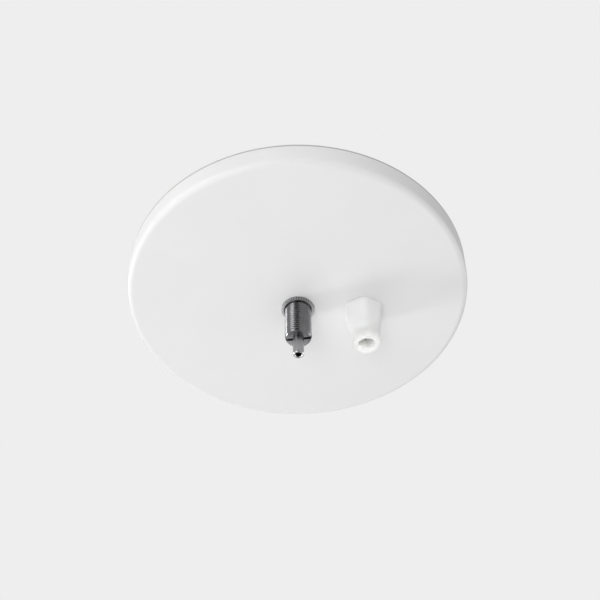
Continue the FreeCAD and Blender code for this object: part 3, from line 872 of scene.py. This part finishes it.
@dataclass
class WireGripper(SubAssembly):
    """The suspension-wire gripper: threaded housing, ring nut, plunger and what is inside."""

    body: str = "ceiling_side"
    thread: LampThread = field(default_factory=lambda: LampThread(4.95))
    end_round: float = 1.2
    chamber_radius: float = 3.5
    nozzle_hole: float = 2.08
    end_wall: float = 2.0
    seat_entry: float = 2.9
    seat_length: float = 7.0
    turn: float = -9.7
    slot_width: float = 1.1
    slot_depth: float = 1.2
    exit_radius: float = 1.1
    exit_level: float = -7.15
    exit_margin: float = 0.2
    top_edge: float = 0.4
    neck_radius: float = 4.4
    relief_height: float = 1.0
    relief_cover: float = 0.5
    relief_edge: float = 0.15
    row_step: float = 0.1
    segments: int = 96
    wire_radius: float = 0.25
    wire_sides: int = 10
    spring_radius: float = 2.55
    spring_turns: float = 5.5
    spring_steps: int = 200

    def threaded_rows(self, low: float, high: float, lead_in: float) -> list[Row]:
        """Rows of a length of thread whose upper end is chamfered.

        Args:
            low: Level of its lower end.
            high: Level of its upper end.
            lead_in: Width of the chamfer.

        Returns:
            The rows from low to high; those near the housing's own end are rounded off.
        """
        end = levels_of("gripper_housing")[0]
        count = round((high - low) / self.row_step)
        rows = []
        for level in (low + (high - low) * index / count for index in range(count + 1)):
            drop = max(0.0, self.end_round - (level - end))
            arc = math.sqrt(self.end_round**2 - drop**2)
            rounded = self.thread.crest_radius - self.end_round + arc
            chamfered = self.thread.crest_radius - max(0.0, lead_in - (high - level))
            rows.append(self.thread.row(level, min(rounded, chamfered)))
        return rows

    def housing(self) -> Piece:
        """Cuts the threaded housing with its driver slot and side hole.

        Returns:
            The housing.
        """
        low, high = levels_of("gripper_housing")
        floor = low + self.end_wall
        relief_top = levels_of("ring_nut")[0] + self.relief_cover
        shoulder = relief_top - self.relief_height
        rows = [
            ring_row(self.nozzle_hole, low),
            *self.threaded_rows(low, shoulder, self.relief_edge),
            ring_row(self.neck_radius, shoulder),
            ring_row(self.neck_radius, relief_top),
            *self.threaded_rows(relief_top, high, self.top_edge),
            ring_row(self.chamber_radius, high),
            ring_row(self.chamber_radius, floor + self.seat_length),
            ring_row(self.seat_entry, floor),
            ring_row(self.nozzle_hole, floor),
        ]
        piece = spun("gripper_body", rows, self.segments, EdgeLook.SMOOTH)
        reach = self.thread.crest_radius
        blade = (4 * reach, self.slot_width, 2 * self.slot_depth)
        slot = saw(shift(0, 0, low) @ upright_turn(self.turn), blade)
        sideways = Matrix.Rotation(math.radians(90), 4, "Y")
        bored = upright_turn(self.turn) @ shift(-reach, 0, self.exit_level) @ sideways
        side_hole = drill(bored, self.exit_radius, 2 * reach - self.exit_margin)
        carve(piece, [slot, side_hole], EdgeLook.SMOOTH)
        return piece

    def coil(self) -> Piece:
        """Winds the spring that drives the plunger down.

        Returns:
            The spring.
        """
        low, high = levels_of("gripper_spring")
        sides, steps = self.wire_sides, self.spring_steps
        form = bmesh.new()
        loops = []
        rise = high - low - 2 * self.wire_radius
        for step in range(steps + 1):
            share = step / steps
            angle = FULL_TURN * self.spring_turns * share
            outward = Vector((math.cos(angle), math.sin(angle), 0.0))
            centre = outward * self.spring_radius
            centre.z = low + self.wire_radius + rise * share
            loop = []
            for side in range(sides):
                around = FULL_TURN * side / sides
                offset = outward * math.cos(around) + Vector((0, 0, math.sin(around)))
                loop.append(form.verts.new((centre + offset * self.wire_radius) * MM))
            loops.append(loop)
        bridge(form, loops)
        form.faces.new(loops[0])
        form.faces.new(loops[-1])
        piece = new_piece("gripper_coil", form, EdgeLook.SMOOTH)
        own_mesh(piece)
        return piece

    def build(self) -> list[str]:
        """Makes the housing and the spring and plates the rest.

        Returns:
            The pieces' names.
        """
        nickel, steel = DARK_NICKEL.material(), BRIGHT_STEEL.material()
        return [
            self.seat(self.housing(), "gripper_housing", "dark_nickel", nickel),
            self.seat(self.coil(), "gripper_spring", "ball_steel", steel),
            self.dress("ring_nut", KNURLED_NICKEL.material()),
            self.dress("gripper_plunger", SATIN_NICKEL.material()),
            self.dress("clamping_balls", steel),
            self.dress("spring_retainer", TURNED_BRASS.material()),
        ]


@dataclass
class CordGrip(SubAssembly):
    """The cord grip: plastic cap and jaws on a threaded nipple with its washer and nut."""

    body: str = "canopy_shell"
    axis: RingPoint = (25.0, 0.0)
    thread: LampThread = field(default_factory=lambda: LampThread(4.95))
    bore_radius: float = 3.5
    thin_share: float = 0.14
    thick_share: float = 0.30
    end_chamfer: float = 0.5
    row_step: float = 0.1
    segments: int = 96
    cap_sides: int = 6
    cap_flats: float = 14.4
    cap_corner: float = 3.2
    cap_turn: float = -4.7
    cap_bevel: float = 0.5
    cap_steps: int = 12
    cap_segments: int = 180
    tip_radius: float = 4.55
    tip_round: float = 0.6
    mouth_radius: float = 3.3
    mouth_round: float = 0.6
    mouth_depth: float = 2.6
    seat_radii: tuple[float, float] = (4.0, 4.6)
    tapped_radius: float = 5.0
    tapped_depth: float = 7.0

    def hexagon(self, angle: float) -> float:
        """Distance from the cap's axis to its base's outline.

        Args:
            angle: Angle round the axis in radians.

        Returns:
            The distance, with the corners rounded.
        """
        half_side = FULL_TURN / (2 * self.cap_sides)
        from_corner = abs((angle - math.radians(self.cap_turn)) % (2 * half_side) - half_side)
        heart = (self.cap_flats / 2 - self.cap_corner) / math.cos(half_side)
        arc_reach = heart + self.cap_corner * math.cos(half_side)
        if from_corner > math.atan2(self.cap_corner * math.sin(half_side), arc_reach):
            return self.cap_flats / 2 / math.cos(half_side - from_corner)
        aside = heart * math.sin(from_corner)
        return heart * math.cos(from_corner) + math.sqrt(self.cap_corner**2 - aside**2)

    def cap_row(self, share: float, level: float, inset: float = 0.0) -> Row:
        """A row round the cap where a share of the hexagon has become the tip, less an inset."""
        round_part = share * self.tip_radius - inset
        return lambda angle: ((1.0 - share) * self.hexagon(angle) + round_part, level)

    def cap(self) -> Piece:
        """Moulds the cap, a hollow hexagon that runs out into a round tip.

        Returns:
            The cap.
        """
        tip, base = levels_of("cord_cap")
        height = base - tip
        steps = self.cap_steps
        first, last = self.cap_bevel / height, 1.0 - self.tip_round / height
        shares = [first + (last - first) * step / steps for step in range(steps + 1)]
        turns = [FULL_TURN / 4 * step / steps for step in range(1, steps + 1)]
        bends = [(1.0 - math.sin(turn), 1.0 - math.cos(turn)) for turn in turns]
        bead = self.tip_round
        edge = (self.mouth_radius + self.mouth_round, tip + self.mouth_round)
        rows = [
            self.cap_row(0.0, base, self.cap_bevel),
            *(self.cap_row(share, base - share * height) for share in shares),
            *(self.cap_row(last, tip + bead * up, bead * inward) for up, inward in bends),
            *arc_rows(edge, self.mouth_round, -90.0, -180.0, steps),
            ring_row(self.mouth_radius, tip + self.mouth_depth),
            ring_row(self.seat_radii[0], tip + self.mouth_depth),
            ring_row(self.seat_radii[1], base - self.tapped_depth),
            ring_row(self.tapped_radius, base - self.tapped_depth),
            ring_row(self.tapped_radius, base),
        ]
        return spun("moulded_cap", rows, self.cap_segments, EdgeLook.CRISP, self.axis)

    def threaded_row(self, level: float, low: float, high: float) -> Row:
        """A row of the threaded outside, chamfered at both ends."""
        inset = max(0.0, self.end_chamfer - min(level - low, high - level))
        return self.thread.row(level, self.thread.crest_radius - inset)

    def nipple(self) -> Piece:
        """Cuts the threaded tube that the cap screws on.

        Returns:
            The tube.
        """
        low, high = levels_of("cord_nipple")
        count = round((high - low) / self.row_step)
        levels = [low + (high - low) * index / count for index in range(count + 1)]
        rows = [
            ring_row(self.bore_radius, low),
            *(self.threaded_row(level, low, high) for level in levels),
            ring_row(self.bore_radius, high),
        ]
        return spun("threaded_nipple", rows, self.segments, EdgeLook.SMOOTH, self.axis)

    def build(self) -> list[str]:
        """Makes the nipple and the cap and dresses the jaws and the hardware.

        Returns:
            The pieces' names.
        """
        turned = ZINC_TURNED.material(self.axis)
        tip, base = levels_of("cord_cap")
        thin, thick = (tip + share * (base - tip) for share in (self.thin_share, self.thick_share))
        plastic = WHITE_PLASTIC.material(thick, thin)
        return [
            self.seat(self.nipple(), "cord_nipple", "zinc_steel", turned),
            self.dress("nipple_washer", turned),
            self.dress("nipple_nut", ZINC_BARREL.material()),
            self.dress("cord_jaws", JAW_PLASTIC.material(base, thick)),
            self.seat(self.cap(), "cord_cap", "white_plastic", plastic, "cap"),
        ]


@dataclass
class CeilingBracket(SubAssembly):
    """The joggled ceiling bracket with the gripper's nut and the earth terminal."""

    body: str = "ceiling_side"

    def build(self) -> list[str]:
        """Dresses the bracket, its nut and the earth screw.

        Returns:
            The pieces' names.
        """
        brass = TURNED_BRASS.material()
        return [
            self.dress("mounting_bracket", ZINC_SHEET.material()),
            self.dress("bracket_nut", ZINC_BARREL.material()),
            self.dress("earth_screw", brass),
            self.dress("earth_washer", brass),
        ]


@dataclass
class TerminalStrip(SubAssembly):
    """The low terminal block with its brass tubes and screws."""

    body: str = "ceiling_side"
    poles: int = 3

    def build(self) -> list[str]:
        """Dresses the block, the tubes and the screws.

        Returns:
            The pieces' names.
        """
        brass, zinc = TURNED_BRASS.material(), ZINC_BARREL.material()
        return [
            self.dress("terminal_block", BLOCK_NYLON.material()),
            *(self.dress(f"terminal_insert_{pole}", brass) for pole in range(1, self.poles + 1)),
            self.dress("clamp_screws", zinc),
            self.dress("block_screws", zinc),
        ]


@dataclass(frozen=True)
class SoftBox:
    """A soft studio light that is aimed at the rose."""

    name: str
    bearing: float
    height: float
    distance: float
    width: float
    length: float
    power: float
    reach: Reach = Reach.ALL

    def hang(self, target: Vector) -> None:
        """Hangs the light and aims it.

        Args:
            target: The point that it faces, in metres.
        """
        lamp = bpy.data.lights.new(self.name, "AREA")
        lamp.shape = "RECTANGLE"
        lamp.size, lamp.size_y = self.width, self.length
        lamp.energy = self.power
        holder = add_object(self.name, lamp)
        stand_off(holder, target, self.bearing, self.height, self.distance)
        holder.visible_camera = False
        holder.visible_diffuse, holder.visible_glossy = self.reach.value


@dataclass(frozen=True)
class PhotoView:
    """Where the photograph was taken from, as fitted to the canopy's outline."""

    focus_level: float = -9.8
    distance: float = 273.8
    azimuth: float = -3.7
    depression: float = 47.49
    yaw: float = 0.26
    pitch: float = 48.17
    roll: float = -0.99
    lens: float = 43.03
    sensor: float = 36.0
    clip: tuple[float, float] = (10.0, 20000.0)

    def matrix(self) -> Matrix:
        """The camera's place and turn in the part's frame.

        Returns:
            The camera's matrix, in metres.
        """
        azimuth, down = math.radians(self.azimuth), math.radians(self.depression)
        heading = azimuth - math.radians(self.yaw)
        pitch, roll = math.radians(self.pitch), math.radians(self.roll)
        flat = self.distance * math.cos(down)
        level = self.focus_level - self.distance * math.sin(down)
        place = Vector((math.sin(azimuth) * flat, -math.cos(azimuth) * flat, level))
        slope = math.cos(pitch)
        ahead = Vector((-math.sin(heading) * slope, math.cos(heading) * slope, math.sin(pitch)))
        level_right = ahead.cross(Vector((0, 0, 1))).normalized()
        level_up = level_right.cross(ahead)
        right = level_right * math.cos(roll) + level_up * math.sin(roll)
        up = level_up * math.cos(roll) - level_right * math.sin(roll)
        turn = Matrix((right, up, -ahead)).transposed()
        return Matrix.Translation(place * MM) @ turn.to_4x4()

    def take(self) -> None:
        """Makes the scene's camera."""
        data = bpy.data.cameras.new("photo_view")
        data.lens, data.sensor_width = self.lens, self.sensor
        data.clip_start, data.clip_end = (end * MM for end in self.clip)
        camera = add_object("photo_view", data)
        camera.matrix_world = self.matrix()
        bpy.context.scene.camera = camera


@dataclass
class Studio:
    """The pale floor, the even surroundings, the lights and the camera."""

    pale: float = 0.855
    ambient: float = 0.26
    floor_level: float = -1.6
    floor_radius: float = 16.0
    floor_colour: Colour = (0.80, 0.80, 0.80)
    floor_show_through: float = 0.8
    floor_shade: float = 0.97
    floor_patch: float = 0.35
    floor_segments: int = 96
    matt: float = 0.9
    view: PhotoView = field(default_factory=PhotoView)
    # Name, bearing and height in degrees; distance, width and length in metres; power in watts.
    lights: tuple[SoftBox, ...] = (
        SoftBox("key_light", 158.0, -19.0, 0.9, 0.2, 0.2, 2.35),
        SoftBox("side_light", 220.0, 25.0, 1.0, 0.5, 0.5, 2.05, Reach.MATT),
        SoftBox("wall_light", 250.0, 25.0, 1.0, 0.6, 0.5, 0.7, Reach.MATT),
        SoftBox("fill_light", 252.0, -42.0, 0.8, 0.3, 0.3, 1.3, Reach.MATT),
        SoftBox("floor_light", 270.0, -89.0, 0.5, 1.2, 1.2, 2.25, Reach.MATT),
        SoftBox("low_light", 243.0, -4.0, 1.0, 0.5, 0.3, 2.3, Reach.MATT),
        SoftBox("far_light", 100.0, -25.0, 1.0, 0.9, 0.8, 2.3),
        SoftBox("right_light", 5.0, 4.0, 1.0, 0.5, 0.5, 0.95, Reach.MATT),
        SoftBox("top_light", 90.0, 76.0, 1.0, 0.8, 0.8, 5.0, Reach.MATT),
        SoftBox("edge_strip", 157.0, -11.0, 1.0, 0.32, 0.7, 3.7, Reach.SHINE),
        SoftBox("left_strip", 220.0, -32.0, 1.0, 0.42, 1.1, 4.2, Reach.SHINE),
        SoftBox("right_strip", 16.0, -10.0, 1.0, 0.4, 0.9, 4.6, Reach.SHINE),
    )
    card_bearing: float = 259.0
    card_height: float = -42.0
    card_distance: float = 0.4
    card_size: tuple[float, float] = (0.24, 0.8)
    card_light: Colour = (0.02, 0.02, 0.02)
    card_dark: Colour = (0.03, 0.03, 0.03)
    card_patch: float = 0.05

    def seen_rays(self, nodes: bpy.types.Nodes, links: bpy.types.NodeLinks) -> Socket:
        """Tells apart the rays that show the room: straight, mirrored or through glass.

        Args:
            nodes: Nodes of the material or world.
            links: Its links.

        Returns:
            A socket that is 1 for such rays.
        """
        path = nodes.new("ShaderNodeLightPath")
        total = path.outputs["Is Camera Ray"]
        for name in ("Is Glossy Ray", "Is Transmission Ray"):
            larger = nodes.new("ShaderNodeMath")
            larger.operation = "MAXIMUM"
            links.new(total, larger.inputs[0])
            links.new(path.outputs[name], larger.inputs[1])
            total = larger.outputs[0]
        return total

    def surround(self) -> None:
        """Sets a world that lights evenly and shows as a pale grey."""
        world = bpy.data.worlds.new("pale_room")
        world.use_nodes = True
        nodes, links = world.node_tree.nodes, world.node_tree.links
        lit = nodes["Background"]
        lit.inputs["Color"].default_value = (1.0, 1.0, 1.0, 1.0)
        lit.inputs["Strength"].default_value = self.ambient
        shown = nodes.new("ShaderNodeBackground")
        shown.inputs["Color"].default_value = (self.pale, self.pale, self.pale, 1.0)
        mix = nodes.new("ShaderNodeMixShader")
        links.new(self.seen_rays(nodes, links), mix.inputs[0])
        links.new(lit.outputs[0], mix.inputs[1])
        links.new(shown.outputs[0], mix.inputs[2])
        links.new(mix.outputs[0], nodes["World Output"].inputs["Surface"])
        bpy.context.scene.world = world

    def floor_material(self) -> Material:
        """Pale matt floor that shows near the room's grey and still takes a shadow.

        Returns:
            The material.
        """
        bench = ShaderBench("pale_floor")
        dark = tuple(channel * self.floor_shade for channel in self.floor_colour)
        colour = bench.tone(bench.clouds(self.floor_patch), self.floor_colour, dark)
        bench.set(Base_Color=colour, Roughness=self.matt)
        glow = bench.node("ShaderNodeEmission", {"Color": (self.pale, self.pale, self.pale, 1.0)})
        seen = self.seen_rays(bench.nodes, bench.links)
        bench.blend(bench.maths("MULTIPLY", seen, self.floor_show_through), glow.outputs[0])
        return bench.material

    def lay_floor(self) -> None:
        """Lays the round floor well below the rose."""
        form = bmesh.new()
        bmesh.ops.create_circle(
            form, cap_ends=True, segments=self.floor_segments, radius=self.floor_radius
        )
        floor = new_piece("floor", form, EdgeLook.SMOOTH)
        floor.location.z = self.floor_level
        floor.data.materials.append(self.floor_material())

    def hold_card(self, target: Vector) -> None:
        """Holds a dark card by the camera, which only the metal shows.

        Args:
            target: The point that it faces, in metres.
        """
        form = bmesh.new()
        bmesh.ops.create_grid(form, x_segments=1, y_segments=1, size=0.5)
        bmesh.ops.scale(form, vec=(*self.card_size, 1.0), verts=form.verts)
        card = new_piece("dark_card", form, EdgeLook.SMOOTH)
        bench = ShaderBench("dark_card")
        colour = bench.tone(bench.clouds(self.card_patch, 2.0), self.card_light, self.card_dark)
        card.data.materials.append(bench.set(Base_Color=colour, Roughness=self.matt))
        stand_off(card, target, self.card_bearing, self.card_height, self.card_distance)
        card.visible_camera = card.visible_diffuse = False
        card.visible_shadow = card.visible_transmission = False

    def set_up(self) -> None:
        """Sets the room, the floor, the lights and the camera."""
        bpy.context.scene.view_settings.view_transform = "Standard"
        self.surround()
        self.lay_floor()
        middle = Vector((0.0, 0.0, self.view.focus_level * MM))
        for light in self.lights:
            light.hang(middle)
        self.hold_card(middle)
        self.view.take()


def main() -> None:
    """Builds each sub-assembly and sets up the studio."""
    logging.basicConfig(level=logging.INFO, format="%(name)s: %(message)s")
    groups = (CanopyPan(), WireGripper(), CordGrip(), CeilingBracket(), TerminalStrip())
    for group in groups:
        for name in group.build():
            log.info("%s: %s", type(group).__name__, name)
    Studio().set_up()


if __name__ == "__main__":
    main()
